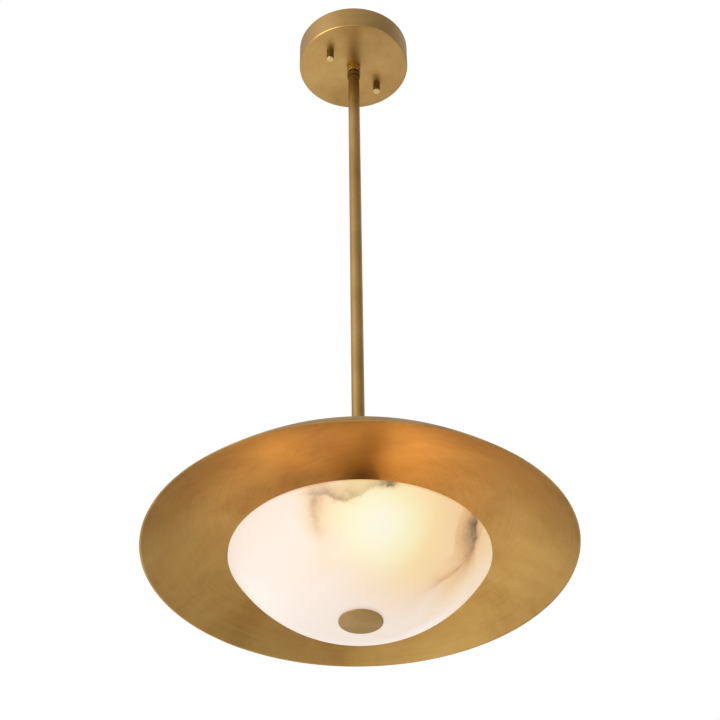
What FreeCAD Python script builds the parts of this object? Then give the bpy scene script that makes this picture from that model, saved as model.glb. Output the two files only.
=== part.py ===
import FreeCAD, Part
import math
import os

os.makedirs("parts", exist_ok=True)

# A pendant light. A brass canopy sits on the ceiling and hides a screwed plate. A ball swivel
# under it carries a straight rod, the rod carries a wide spun dish that opens downwards, and a
# bowl turned from alabaster hangs inside the dish on a tie rod, held by a disc finial.
# Millimetres. The origin is the centre of the ceiling plate's upper face, +Z is up.

# Ceiling plate and what is screwed to it
PLATE_RADIUS = 52.0
PLATE_THICKNESS = 2.0
CABLE_HOLE_RADIUS = 10.0
CEILING_SCREW_CIRCLE = 60.0
CEILING_SCREW_HOLE_RADIUS = 2.5
STUD_SPACING = 72.0
STUD_AZIMUTH = 43.0
STUD_RADIUS = 2.0
STUD_NUT_FLATS = 7.0
STUD_NUT_HEIGHT = 3.2
EARTH_SCREW_REACH = 38.0
EARTH_SCREW_RADIUS = 2.0
EARTH_HEAD_RADIUS = 4.0
EARTH_HEAD_HEIGHT = 2.6

# Terminal block under the plate
BLOCK_LENGTH = 30.0
BLOCK_WIDTH = 14.0
BLOCK_HEIGHT = 12.0
BLOCK_REACH = 32.0
BLOCK_ROUND = 1.0
POLE_COUNT = 3
POLE_PITCH = 9.0
POLE_SCREW_RADIUS = 1.6
POLE_SCREW_DEPTH = 3.5
BLOCK_SCREW_RADIUS = 1.5
BLOCK_SCREW_HEAD_RADIUS = 2.7
BLOCK_SCREW_HEAD_HEIGHT = 1.8

# Canopy and its two cap nuts
CANOPY_RADIUS = 62.0
CANOPY_HEIGHT = 30.0
CANOPY_WALL = 1.2
CANOPY_FLOOR = 1.5
CANOPY_EDGE_ROUND = 1.6
CAP_NUT_RADIUS = 4.0
CAP_NUT_LENGTH = 14.0
CAP_NUT_TIP_ROUND = 0.8
CAP_NUT_WALL_AT_TIP = 2.0
STUD_END_SPACE = 0.6

# Ball swivel
SPIGOT_RADIUS = 5.0
SPIGOT_BORE_RADIUS = 3.6
SPIGOT_RISE = 7.5
TOOTH_WASHER_RADIUS = 9.0
TOOTH_WASHER_THICKNESS = 0.8
TOOTH_COUNT = 8
SPIGOT_NUT_FLATS = 14.0
SPIGOT_NUT_HEIGHT = 3.0
GRIP_RADIUS = 7.0
GRIP_SKIRT = 3.2
GRIP_TOP = 1.5
SHOULDER_HEIGHT = 3.0
PIVOT_BELOW_SHOULDER = 2.4
BALL_RADIUS = 5.5
BALL_BORE_RADIUS = 2.4
BALL_TOP_HEIGHT = 4.0
NECK_RADIUS = 3.5
NECK_LENGTH = 16.0
SEAT_WALL = 1.15
SEAT_RISE = 0.5
SEAT_GRIP_ANGLE = 58.0
SKIRT_ABOVE_SEAT = 0.3
CUP_WALL = 1.1
CUP_LIP = 1.0
CUP_ROUND = 0.7
TILT_LIMIT = 15.0

# Rod and its two ends
FERRULE_RADIUS = 7.25
FERRULE_HEIGHT = 6.0
FERRULE_TOP = 2.5
FERRULE_ROUND = 1.5
ROD_RADIUS = 6.35
ROD_WALL = 1.0
PLUG_LENGTH = 11.0
COUPLER_RADIUS = 9.0
COUPLER_HEIGHT = 18.0
COUPLER_ROUND = 1.5
ROD_SOCKET_DEPTH = 10.0
NIPPLE_RADIUS = 5.0
NIPPLE_BORE_RADIUS = 3.8

# Dish: its rim plane hangs this far below the ceiling, and its meridian is three arcs
DROP = 700.0
DISH_RADIUS = 200.0
DISH_SHEET = 1.2
DISH_SEAT_RADIUS = 20.0
DISH_RIM_SLOPE = 45.0
DISH_FLANK_RADIUS = 440.0
DISH_SHOULDER_SLOPE = 40.0
DISH_SHOULDER_RADIUS = 140.0
DISH_CROWN_SLOPE = 18.0
DISH_WASHER_RADIUS = 17.0
DISH_WASHER_THICKNESS = 2.0
LOCK_WASHER_RADIUS = 12.0
LOCK_WASHER_THICKNESS = 1.5
LOCK_NUT_FLATS = 14.0
LOCK_NUT_HEIGHT = 4.0

# Lamp hub, arms, holders and bulbs
HUB_ABOVE_RIM = 29.0
HUB_RADIUS = 25.0
HUB_HEIGHT = 16.0
HUB_WALL = 3.0
HUB_ROUND = 2.0
LID_THICKNESS = 2.0
HUB_NUT_HEIGHT = 4.0
WINDOW_WIDTH = 5.0
WINDOW_HEIGHT = 9.0
LAMP_COUNT = 3
LAMP_FIRST_AZIMUTH = -72.0
LAMPS_INSIDE_BOWL_EDGE = 58.0
ARM_RADIUS = 4.0
ARM_WALL = 1.0
ARM_BEND_RADIUS = 8.0
ARM_NUT_FLATS = 11.0
ARM_NUT_HEIGHT = 3.0
ARM_PAST_NUT = 1.5
ARM_IN_HOLDER = 4.0
HOLDER_RADIUS = 11.0
HOLDER_HEIGHT = 20.0
HOLDER_BELOW_HUB = 1.0
HOLDER_ROUND = 1.0
HOLDER_LEAD_HOLE_DEPTH = 4.0
SOCKET_DEPTH = 6.0
BULB_RADIUS = 8.0
BULB_ABOVE_BOWL = 7.6
BULB_BASE_RADIUS = 6.0
BULB_BASE_LENGTH = 5.0
PIN_SPACING = 6.0
PIN_RADIUS = 0.7
PIN_LENGTH = 3.5

# Leads
LEAD_RADIUS = 1.9
LEAD_BEND_RADIUS = 11.5
LEAD_IN_BLOCK = 3.0
CORE_RADIUS = 1.1
CORE_START = 2.0
STEM_LEAD_ABOVE_CORES = 2.0

# Tie rod, bowl and finial
REDUCER_FLATS = 14.0
REDUCER_HEIGHT = 14.0
REDUCER_NIPPLE_DEPTH = 8.0
TIE_ROD_RADIUS = 3.0
TIE_ROD_IN_REDUCER = 5.0
BOWL_BELOW_RIM = 1.2
BOWL_RADIUS = 120.0
BOWL_EDGE_HEIGHT = 3.0
BOWL_EDGE_ROUND = 2.0
BOWL_FLANK_RADIUS = 140.0
BOWL_BASE_SLOPE = 22.0
BOWL_SEAT_RADIUS = 20.0
BOWL_WALL = 10.0
BOWL_HOLE_RADIUS = 6.0
FELT_THICKNESS = 1.0
UPPER_FELT_RADIUS = 12.0
LOWER_FELT_RADIUS = 17.0
BOWL_WASHER_RADIUS = 10.0
BOWL_WASHER_THICKNESS = 1.2
BOWL_NUT_FLATS = 10.0
BOWL_NUT_HEIGHT = 5.0
FINIAL_RADIUS = 20.0
FINIAL_EDGE_HEIGHT = 1.5
FINIAL_EDGE_ROUND = 0.4
FINIAL_DOME = 1.1
FINIAL_BOSS_RADIUS = 5.0
FINIAL_BOSS_HEIGHT = 9.0
FINIAL_FACE = 1.6

# Clearances: radial fit of shafts and threads, loose holes, faces of pieces that turn past each
# other, and the least space beside what tilts
FIT = 0.05
LOOSE = 0.3
FACE_GAP = 0.1
TILT_SPACE = 0.3
FERRULE_SPACE = 0.7

ORIGIN = FreeCAD.Vector(0, 0, 0)
UP = FreeCAD.Vector(0, 0, 1)

# Heights of the seats, from the ceiling down
canopy_floor_z = -CANOPY_HEIGHT
canopy_inside_z = canopy_floor_z + CANOPY_FLOOR
spigot_top_z = canopy_inside_z + SPIGOT_RISE
spigot_nut_z = canopy_inside_z + TOOTH_WASHER_THICKNESS
lead_z = -PLATE_THICKNESS - BLOCK_HEIGHT / 2
cup_top_z = canopy_floor_z - SHOULDER_HEIGHT
pivot_z = cup_top_z - PIVOT_BELOW_SHOULDER
ball_top_z = pivot_z + BALL_TOP_HEIGHT
tilt = math.radians(TILT_LIMIT)
seat_depth = BALL_RADIUS * math.cos(math.radians(SEAT_GRIP_ANGLE))
seat_radius = BALL_RADIUS + SEAT_WALL
cup_depth = seat_depth + CUP_LIP
ferrule_flat = FERRULE_RADIUS - FERRULE_ROUND
ferrule_depth = (cup_depth + FERRULE_SPACE + ferrule_flat * math.sin(tilt)) / math.cos(tilt)
ferrule_z = pivot_z - ferrule_depth
rod_top_z = ferrule_z - FERRULE_TOP

rim_z = -DROP
hub_z = rim_z + HUB_ABOVE_RIM
hub_top_z = hub_z + HUB_HEIGHT
arm_z = hub_z + (HUB_WALL + HUB_HEIGHT) / 2
lid_top_z = hub_top_z + LID_THICKNESS
holder_top_z = hub_z - HOLDER_BELOW_HUB
arm_end_z = holder_top_z - ARM_IN_HOLDER
arm_nut_reach = ARM_NUT_FLATS / math.sqrt(3)
arm_nut_seat = math.sqrt((HUB_RADIUS - HUB_WALL) ** 2 - arm_nut_reach ** 2) - FIT
holder_z = holder_top_z - HOLDER_HEIGHT
reducer_z = hub_z - REDUCER_HEIGHT
nipple_bottom_z = hub_z - REDUCER_NIPPLE_DEPTH + FACE_GAP
tie_rod_top_z = reducer_z + TIE_ROD_IN_REDUCER
bowl_top_z = rim_z - BOWL_BELOW_RIM
bowl_widest = math.asin(BOWL_RADIUS / BOWL_FLANK_RADIUS)
bowl_join = math.radians(BOWL_BASE_SLOPE)
bowl_flank_z = bowl_top_z - BOWL_EDGE_HEIGHT + BOWL_FLANK_RADIUS * math.cos(bowl_widest)
bowl_base_radius = BOWL_FLANK_RADIUS - BOWL_SEAT_RADIUS / math.sin(bowl_join)
bowl_base_z = bowl_flank_z - BOWL_SEAT_RADIUS / math.tan(bowl_join)
bowl_seat_z = bowl_base_z - bowl_base_radius
bowl_floor_z = bowl_seat_z + BOWL_WALL
lamp_circle = BOWL_RADIUS - LAMPS_INSIDE_BOWL_EDGE
lamp_edge = lamp_circle + BULB_RADIUS
bowl_under_lamp = math.sqrt((BOWL_FLANK_RADIUS - BOWL_WALL) ** 2 - lamp_edge ** 2)
bulb_end_z = bowl_flank_z - bowl_under_lamp + BULB_ABOVE_BOWL
bowl_washer_z = bowl_floor_z + FELT_THICKNESS
bowl_nut_z = bowl_washer_z + BOWL_WASHER_THICKNESS
finial_z = bowl_seat_z - FELT_THICKNESS
finial_face_z = finial_z - FINIAL_EDGE_HEIGHT
finial_bore_z = finial_face_z - FINIAL_DOME + FINIAL_FACE


def at(radius, azimuth, height=0.0):
    """A point on a circle about the pendant's axis."""
    turn = math.radians(azimuth)
    return FreeCAD.Vector(radius * math.cos(turn), radius * math.sin(turn), height)


def moved(shape, place, azimuth=0.0):
    """The shape turned about its own upright axis, then put at a place."""
    copy = shape.copy()
    copy.rotate(ORIGIN, UP, azimuth)
    copy.translate(place)
    return copy


def rounded_corner(before, corner, after, rounding):
    """Start, middle and end of the arc that rounds one corner of a profile."""
    to_before = (before - corner).normalize()
    to_after = (after - corner).normalize()
    half = to_before.getAngle(to_after) / 2
    setback = rounding / math.tan(half)
    bisector = (to_before + to_after).normalize()
    middle = corner + bisector * (rounding / math.sin(half) - rounding)
    return corner + to_before * setback, middle, corner + to_after * setback


def profile(corners):
    """A face in the X-Z plane. A corner is (radius, height) or (radius, height, rounding)."""
    points = [FreeCAD.Vector(corner[0], 0, corner[1]) for corner in corners]
    edges = []
    ends = []
    for index, corner in enumerate(corners):
        start = finish = points[index]
        if len(corner) == 3:
            following = points[(index + 1) % len(points)]
            start, middle, finish = rounded_corner(points[index - 1], start, following, corner[2])
            edges.append(Part.Arc(start, middle, finish).toShape())
        ends.append((start, finish))
    for index, (start, finish) in enumerate(ends):
        edges.append(Part.LineSegment(ends[index - 1][1], start).toShape())
    return Part.Face(Part.Wire(Part.__sortEdges__(edges)))


def turned(corners):
    """A solid turned about the pendant's axis."""
    return profile(corners).revolve(ORIGIN, UP, 360)


def ring(outer, inner, bottom, top):
    """A plain washer, tube or bored disc."""
    return turned([(inner, bottom), (outer, bottom), (outer, top), (inner, top)])


def rod(radius, bottom, top):
    """A plain round bar."""
    return Part.makeCylinder(radius, top - bottom, FreeCAD.Vector(0, 0, bottom))


def hexagon(flats, bottom, top):
    """A six-sided bar, this wide across its flats."""
    corners = [at(flats / math.sqrt(3), 60 * side, bottom) for side in range(7)]
    return Part.Face(Part.makePolygon(corners)).extrude(UP * (top - bottom))


def nut(flats, thread_radius, bottom, height):
    """A six-sided nut with its corners turned off."""
    reach = flats / math.sqrt(3)
    bevel = (reach - flats / 2) / 2
    top = bottom + height
    blank = turned([(0, bottom), (reach - bevel, bottom), (reach, bottom + bevel),
                    (reach, top - bevel), (reach - bevel, top), (0, top)])
    return hexagon(flats, bottom, top).common(blank).cut(rod(thread_radius + FIT, bottom, top))


def pipe(path, radius, outward):
    """A round bar along a path of lines and tangent arcs."""
    start = path.Edges[0].firstVertex().Point
    circle = Part.Wire(Part.Circle(start, outward, radius).toShape())
    return path.makePipeShell([circle], True, False)


def on_stud(shape):
    """The two places, left and right, of what goes on the studs."""
    return [moved(shape, at(side * STUD_SPACING / 2, STUD_AZIMUTH)) for side in (-1, 1)]


def on_lamps(shape):
    """The places of what repeats for every lamp."""
    step = 360 / LAMP_COUNT
    return [moved(shape, ORIGIN, LAMP_FIRST_AZIMUTH + step * lamp) for lamp in range(LAMP_COUNT)]


def ceiling_plate():
    """The disc screwed to the ceiling, with its cable hole and screw holes."""
    plate = ring(PLATE_RADIUS, CABLE_HOLE_RADIUS, -PLATE_THICKNESS, 0)
    screw_hole = rod(CEILING_SCREW_HOLE_RADIUS, -PLATE_THICKNESS, 0)
    for side in (-90, 90):
        plate = plate.cut(moved(screw_hole, at(CEILING_SCREW_CIRCLE / 2, STUD_AZIMUTH + side)))
    for hole in on_stud(rod(STUD_RADIUS + FIT, -PLATE_THICKNESS, 0)):
        plate = plate.cut(hole)
    earth_hole = rod(EARTH_SCREW_RADIUS + FIT, -PLATE_THICKNESS, 0)
    plate = plate.cut(moved(earth_hole, earth_place()))
    block_hole = rod(BLOCK_SCREW_RADIUS + FIT, -PLATE_THICKNESS, 0)
    return plate.cut(on_block(moved(block_hole, block_screw_place())))


def plate_studs():
    """Two studs that hang from the plate and hold the canopy's nuts."""
    bottom = canopy_floor_z - CAP_NUT_LENGTH + CAP_NUT_WALL_AT_TIP + STUD_END_SPACE
    return Part.makeCompound(on_stud(rod(STUD_RADIUS, bottom, 0)))


def stud_nuts():
    """The nuts that lock the studs under the plate."""
    bottom = -PLATE_THICKNESS - STUD_NUT_HEIGHT
    return Part.makeCompound(on_stud(nut(STUD_NUT_FLATS, STUD_RADIUS, bottom, STUD_NUT_HEIGHT)))


def earth_place():
    """Where the earth screw goes, opposite the terminal block."""
    return at(EARTH_SCREW_REACH, STUD_AZIMUTH + 135)


def earth_screw():
    """The screw under the plate that takes the earth wire."""
    head_z = -PLATE_THICKNESS - EARTH_HEAD_HEIGHT
    screw = turned([(0, head_z), (EARTH_HEAD_RADIUS, head_z, EARTH_HEAD_HEIGHT / 3),
                    (EARTH_HEAD_RADIUS, -PLATE_THICKNESS), (EARTH_SCREW_RADIUS, -PLATE_THICKNESS),
                    (EARTH_SCREW_RADIUS, 0), (0, 0)])
    return moved(screw, earth_place())


def on_block(shape):
    """Puts a shape made about the block's centre to the block's place under the plate."""
    return moved(shape, at(BLOCK_REACH, STUD_AZIMUTH + 45), STUD_AZIMUTH + 45)


def block_screw_place():
    """The block's fixing screw, between two poles."""
    return FreeCAD.Vector(0, POLE_PITCH / 2, 0)


def pole_places():
    """The middles of the block's poles, side by side along Y."""
    middle = (POLE_COUNT - 1) / 2
    return [FreeCAD.Vector(0, POLE_PITCH * (pole - middle), 0) for pole in range(POLE_COUNT)]


def terminal_block():
    """The moulded block that joins the lead to the cable in the ceiling."""
    bottom = -PLATE_THICKNESS - BLOCK_HEIGHT
    corner = FreeCAD.Vector(-BLOCK_WIDTH / 2, -BLOCK_LENGTH / 2, bottom)
    block = Part.makeBox(BLOCK_WIDTH, BLOCK_LENGTH, BLOCK_HEIGHT, corner)
    upright = [edge for edge in block.Edges if abs(edge.tangentAt(0).z) > 0.9]
    block = block.makeFillet(BLOCK_ROUND, upright)
    across = FreeCAD.Vector(1, 0, 0)
    wire_hole = Part.makeCylinder(LEAD_RADIUS + FACE_GAP, BLOCK_WIDTH,
                                  FreeCAD.Vector(-BLOCK_WIDTH / 2, 0, lead_z), across)
    screw_hole = rod(POLE_SCREW_RADIUS + FIT, bottom, lead_z)
    for place in pole_places():
        block = block.cut(moved(wire_hole, place))
        block = block.cut(moved(screw_hole, place))
    fixing_hole = rod(BLOCK_SCREW_RADIUS + FIT, bottom, -PLATE_THICKNESS)
    return on_block(block.cut(moved(fixing_hole, block_screw_place())))


def terminal_screws():
    """The poles' clamping screws and the screw that holds the block to the plate."""
    bottom = -PLATE_THICKNESS - BLOCK_HEIGHT
    pole_screw = rod(POLE_SCREW_RADIUS, bottom, bottom + POLE_SCREW_DEPTH)
    head_z = bottom - BLOCK_SCREW_HEAD_HEIGHT
    fixing = rod(BLOCK_SCREW_RADIUS, bottom, 0)
    fixing = fixing.fuse(rod(BLOCK_SCREW_HEAD_RADIUS, head_z, bottom))
    screws = [moved(pole_screw, place) for place in pole_places()]
    screws.append(moved(fixing.removeSplitter(), block_screw_place()))
    return Part.makeCompound([on_block(screw) for screw in screws])


def canopy():
    """The round cover against the ceiling, open at the top."""
    inner = CANOPY_RADIUS - CANOPY_WALL
    inner_round = CANOPY_EDGE_ROUND - CANOPY_WALL
    cover = turned([(SPIGOT_RADIUS + FACE_GAP, canopy_floor_z),
                    (CANOPY_RADIUS, canopy_floor_z, CANOPY_EDGE_ROUND), (CANOPY_RADIUS, 0),
                    (inner, 0), (inner, canopy_inside_z, inner_round),
                    (SPIGOT_RADIUS + FACE_GAP, canopy_inside_z)])
    for hole in on_stud(rod(STUD_RADIUS + LOOSE, canopy_floor_z, canopy_inside_z)):
        cover = cover.cut(hole)
    return cover


def cap_nuts():
    """The two closed nuts under the canopy, left one first."""
    top = canopy_floor_z - FACE_GAP
    bottom = top - CAP_NUT_LENGTH
    bore_z = bottom + CAP_NUT_WALL_AT_TIP
    bore = STUD_RADIUS + FIT
    shape = turned([(0, bottom), (CAP_NUT_RADIUS, bottom, CAP_NUT_TIP_ROUND),
                    (CAP_NUT_RADIUS, top), (bore, top), (bore, bore_z), (0, bore_z)])
    return on_stud(shape)


def swivel_body():
    """The swivel's fixed half: a threaded spigot, a shoulder and a skirt over the ball."""
    space = BALL_RADIUS + TILT_SPACE
    skirt_z = pivot_z + SEAT_RISE + SKIRT_ABOVE_SEAT
    body = turned([(SPIGOT_BORE_RADIUS, skirt_z), (seat_radius, skirt_z),
                   (seat_radius, canopy_floor_z), (SPIGOT_RADIUS, canopy_floor_z),
                   (SPIGOT_RADIUS, spigot_top_z), (SPIGOT_BORE_RADIUS, spigot_top_z)])
    return body.cut(Part.makeSphere(space, FreeCAD.Vector(0, 0, pivot_z)))


def swivel_cup():
    """The ring screwed over the skirt, whose lip carries the seat and the ball."""
    bore = seat_radius + FIT
    radius = bore + CUP_WALL
    lip_z = pivot_z - seat_depth
    bottom = lip_z - CUP_LIP
    reach = (cup_depth + NECK_RADIUS * math.sin(tilt)) / math.cos(tilt)
    neck_there = reach * math.sin(tilt) + NECK_RADIUS * math.cos(tilt)
    ball_there = BALL_RADIUS * math.sin(math.radians(SEAT_GRIP_ANGLE))
    mouth = max(neck_there, ball_there) + TILT_SPACE
    return turned([(mouth, bottom), (radius, bottom, CUP_ROUND), (radius, cup_top_z, CUP_ROUND),
                   (bore, cup_top_z), (bore, lip_z), (mouth, lip_z)])


def tooth_washer():
    """The toothed washer under the spigot's nut, inside the canopy."""
    washer = ring(TOOTH_WASHER_RADIUS, SPIGOT_RADIUS + FIT, canopy_inside_z, spigot_nut_z)
    notch = Part.makeBox(TOOTH_WASHER_RADIUS / 4, TOOTH_WASHER_RADIUS / 6,
                         TOOTH_WASHER_THICKNESS, FreeCAD.Vector(0, 0, canopy_inside_z))
    for tooth in range(TOOTH_COUNT):
        turn = 360 / TOOTH_COUNT * tooth
        washer = washer.cut(moved(notch, at(TOOTH_WASHER_RADIUS * 5 / 6, turn), turn))
    return washer


def spigot_nut():
    """The nut that clamps the canopy's floor on the swivel's shoulder."""
    return nut(SPIGOT_NUT_FLATS, SPIGOT_RADIUS, spigot_nut_z, SPIGOT_NUT_HEIGHT)


def cord_grip():
    """The cap on the spigot that holds the lead."""
    top = spigot_top_z + GRIP_TOP
    hole = LEAD_RADIUS + FIT
    thread = SPIGOT_RADIUS + FIT
    return turned([(thread, spigot_top_z - GRIP_SKIRT), (GRIP_RADIUS, spigot_top_z - GRIP_SKIRT),
                   (GRIP_RADIUS, top, GRIP_TOP / 2), (hole, top), (hole, spigot_top_z),
                   (thread, spigot_top_z)])


def canopy_lead():
    """The lead from the terminal block through the grip to just above the tilting ball."""
    rim = math.sqrt(BALL_RADIUS ** 2 - BALL_TOP_HEIGHT ** 2)
    rise = BALL_TOP_HEIGHT * math.cos(tilt) + rim * math.sin(tilt)
    bottom = pivot_z + rise + TILT_SPACE
    grip_z = spigot_top_z + GRIP_TOP
    bend = min(LEAD_BEND_RADIUS, lead_z - grip_z)
    azimuth = STUD_AZIMUTH + 45
    start = at(BLOCK_REACH - BLOCK_WIDTH / 2 + LEAD_IN_BLOCK, azimuth, lead_z)
    bend_start = at(bend, azimuth, lead_z)
    middle = at(bend * (1 - math.sqrt(0.5)), azimuth, lead_z - bend * (1 - math.sqrt(0.5)))
    bend_end = FreeCAD.Vector(0, 0, lead_z - bend)
    path = Part.Wire([Part.LineSegment(start, bend_start).toShape(),
                      Part.Arc(bend_start, middle, bend_end).toShape(),
                      Part.LineSegment(bend_end, FreeCAD.Vector(0, 0, bottom)).toShape()])
    return pipe(path, LEAD_RADIUS, bend_start - start)


def ball_seat():
    """The plastic ring in the cup that the ball rests on and turns with."""
    top = pivot_z + SEAT_RISE
    bottom = pivot_z - seat_depth + FIT
    bore = BALL_RADIUS / 2
    seat = ring(seat_radius, bore, bottom, top)
    return seat.cut(Part.makeSphere(BALL_RADIUS + FIT, FreeCAD.Vector(0, 0, pivot_z)))


def swivel_ball():
    """The bored ball and the threaded neck that the rod hangs on."""
    ball = Part.makeSphere(BALL_RADIUS, FreeCAD.Vector(0, 0, pivot_z))
    neck_z = ferrule_z - NECK_LENGTH
    ball = ball.fuse(rod(NECK_RADIUS, neck_z, pivot_z)).removeSplitter()
    ball = ball.cut(rod(BALL_RADIUS, ball_top_z, ball_top_z + BALL_RADIUS))
    return ball.cut(rod(BALL_BORE_RADIUS, neck_z, ball_top_z))


def rod_ferrule():
    """The cap over the rod's upper end, bored for the neck."""
    skirt = ROD_RADIUS + FIT
    bottom = ferrule_z - FERRULE_HEIGHT
    hole = NECK_RADIUS + FIT
    return turned([(hole, rod_top_z), (skirt, rod_top_z), (skirt, bottom),
                   (FERRULE_RADIUS, bottom), (FERRULE_RADIUS, ferrule_z, FERRULE_ROUND),
                   (hole, ferrule_z)])


def rod_plug():
    """The threaded plug in the rod's upper end that the neck screws into."""
    outer = ROD_RADIUS - ROD_WALL - FIT
    return ring(outer, NECK_RADIUS + FIT, rod_top_z - PLUG_LENGTH, rod_top_z)


def main_rod():
    """The half-inch tube between the swivel and the dish."""
    return ring(ROD_RADIUS, ROD_RADIUS - ROD_WALL, rod_bottom_z, rod_top_z)


def rod_coupler():
    """The collar that joins the rod to the nipple through the dish."""
    socket = ROD_RADIUS + FIT
    thread = NIPPLE_RADIUS + FIT
    return turned([(thread, coupler_z), (COUPLER_RADIUS, coupler_z, COUPLER_ROUND),
                   (COUPLER_RADIUS, coupler_z + COUPLER_HEIGHT, COUPLER_ROUND),
                   (socket, coupler_z + COUPLER_HEIGHT), (socket, rod_bottom_z),
                   (thread, rod_bottom_z)])


def dish_washer():
    """The turned washer between the coupler and the dish."""
    return turned([(NIPPLE_RADIUS + FIT, dish_top_z), (DISH_WASHER_RADIUS, dish_top_z),
                   (DISH_WASHER_RADIUS, coupler_z, DISH_WASHER_THICKNESS / 2),
                   (NIPPLE_RADIUS + FIT, coupler_z)])


def dish_arcs():
    """Centre, radius and the two slopes of each arc of the dish's upper face, rim first."""
    arcs = []
    radius, height = DISH_RADIUS, rim_z
    steps = [(DISH_FLANK_RADIUS, DISH_RIM_SLOPE, DISH_SHOULDER_SLOPE),
             (DISH_SHOULDER_RADIUS, DISH_SHOULDER_SLOPE, DISH_CROWN_SLOPE),
             (None, DISH_CROWN_SLOPE, 0)]
    for bend, steep, flat in steps:
        start, finish = math.radians(steep), math.radians(flat)
        if bend is None:
            bend = (radius - DISH_SEAT_RADIUS) / math.sin(start)
        centre = (radius - bend * math.sin(start), height - bend * math.cos(start))
        arcs.append((centre, bend, start, finish))
        radius = centre[0] + bend * math.sin(finish)
        height = centre[1] + bend * math.cos(finish)
    return arcs, height


def arc_edge(centre, radius, start, finish):
    """An arc in the X-Z plane between two slopes."""
    slopes = (start, (start + finish) / 2, finish)
    points = [FreeCAD.Vector(centre[0] + radius * math.sin(slope), 0,
                             centre[1] + radius * math.cos(slope)) for slope in slopes]
    return Part.Arc(*points).toShape()


def joined(edges):
    """Closes a run of edges with straight ones and turns the face about the axis."""
    closed = []
    for index, edge in enumerate(edges):
        last = edges[index - 1].lastVertex().Point
        first = edge.firstVertex().Point
        if last.distanceToPoint(first) > 1e-6:
            closed.append(Part.LineSegment(last, first).toShape())
        closed.append(edge)
    return Part.Face(Part.Wire(Part.__sortEdges__(closed))).revolve(ORIGIN, UP, 360)


def dish():
    """The spun sheet dish, cut level at its rim and bored at its flat seat."""
    arcs, top = dish_arcs()
    edges = [arc_edge(*arc) for arc in arcs]
    centre, radius, steep, flat = arcs[0]
    level_cut = math.acos((rim_z - centre[1]) / (radius - DISH_SHEET))
    inner = [(arcs[0][0], radius - DISH_SHEET, level_cut, flat)]
    inner += [(centre, radius - DISH_SHEET, steep, flat) for centre, radius, steep, flat in arcs[1:]]
    hole = NIPPLE_RADIUS + FACE_GAP
    hole_edge = Part.LineSegment(FreeCAD.Vector(hole, 0, top), FreeCAD.Vector(hole, 0, top - DISH_SHEET))
    edges.append(hole_edge.toShape())
    edges += [arc_edge(arc[0], arc[1], arc[3], arc[2]) for arc in reversed(inner)]
    return joined(edges)


def lock_washer():
    """The washer under the dish."""
    return ring(LOCK_WASHER_RADIUS, NIPPLE_RADIUS + FIT, lock_washer_z, dish_top_z - DISH_SHEET)


def lock_nut():
    """The nut that clamps the dish between its washers."""
    return nut(LOCK_NUT_FLATS, NIPPLE_RADIUS, lock_washer_z - LOCK_NUT_HEIGHT, LOCK_NUT_HEIGHT)


def stem_nipple():
    """The threaded tube from the coupler through the dish and the hub, with windows for cores."""
    nipple = ring(NIPPLE_RADIUS, NIPPLE_BORE_RADIUS, nipple_bottom_z, rod_bottom_z - FACE_GAP)
    window = Part.makeBox(NIPPLE_RADIUS + 1, WINDOW_WIDTH, WINDOW_HEIGHT,
                          FreeCAD.Vector(0, -WINDOW_WIDTH / 2, arm_z - WINDOW_HEIGHT / 2))
    for opening in on_lamps(window):
        nipple = nipple.cut(opening)
    return nipple


def lamp_hub():
    """The turned cup that the arms are screwed into."""
    bore = NIPPLE_RADIUS + FIT
    inner = HUB_RADIUS - HUB_WALL
    floor = hub_z + HUB_WALL
    hub = turned([(bore, hub_z), (HUB_RADIUS, hub_z, HUB_ROUND), (HUB_RADIUS, hub_top_z),
                  (inner, hub_top_z), (inner, floor), (bore, floor)])
    arm_hole = Part.makeCylinder(ARM_RADIUS + FIT, HUB_RADIUS, FreeCAD.Vector(0, 0, arm_z),
                                 FreeCAD.Vector(1, 0, 0))
    outside = arm_hole.cut(rod(inner - HUB_WALL, hub_z, hub_top_z))
    for hole in on_lamps(outside):
        hub = hub.cut(hole)
    return hub


def hub_lid():
    """The lid clamped on the hub by the nut above it."""
    return turned([(NIPPLE_RADIUS + FIT, hub_top_z), (HUB_RADIUS, hub_top_z),
                   (HUB_RADIUS, lid_top_z, LID_THICKNESS / 2), (NIPPLE_RADIUS + FIT, lid_top_z)])


def hub_nut():
    """The nut on the nipple above the lid."""
    return nut(LOCK_NUT_FLATS, NIPPLE_RADIUS, lid_top_z, HUB_NUT_HEIGHT)


def tie_rod_reducer():
    """The six-sided piece under the hub that joins the thick nipple to the thin tie rod."""
    piece = hexagon(REDUCER_FLATS, reducer_z, hub_z)
    piece = piece.cut(rod(NIPPLE_RADIUS + FIT, hub_z - REDUCER_NIPPLE_DEPTH, hub_z))
    return piece.cut(rod(TIE_ROD_RADIUS + FIT, reducer_z, hub_z))


def arm_path(start_radius, end_z):
    """Out from the hub, round the bend and down into a holder, at azimuth 0."""
    bend_radius = lamp_circle - ARM_BEND_RADIUS
    inset = ARM_BEND_RADIUS * (1 - math.sqrt(0.5))
    start = FreeCAD.Vector(start_radius, 0, arm_z)
    bend_start = FreeCAD.Vector(bend_radius, 0, arm_z)
    middle = FreeCAD.Vector(lamp_circle - inset, 0, arm_z - inset)
    bend_end = FreeCAD.Vector(lamp_circle, 0, arm_z - ARM_BEND_RADIUS)
    end = FreeCAD.Vector(lamp_circle, 0, end_z)
    return Part.Wire([Part.LineSegment(start, bend_start).toShape(),
                      Part.Arc(bend_start, middle, bend_end).toShape(),
                      Part.LineSegment(bend_end, end).toShape()])


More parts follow.
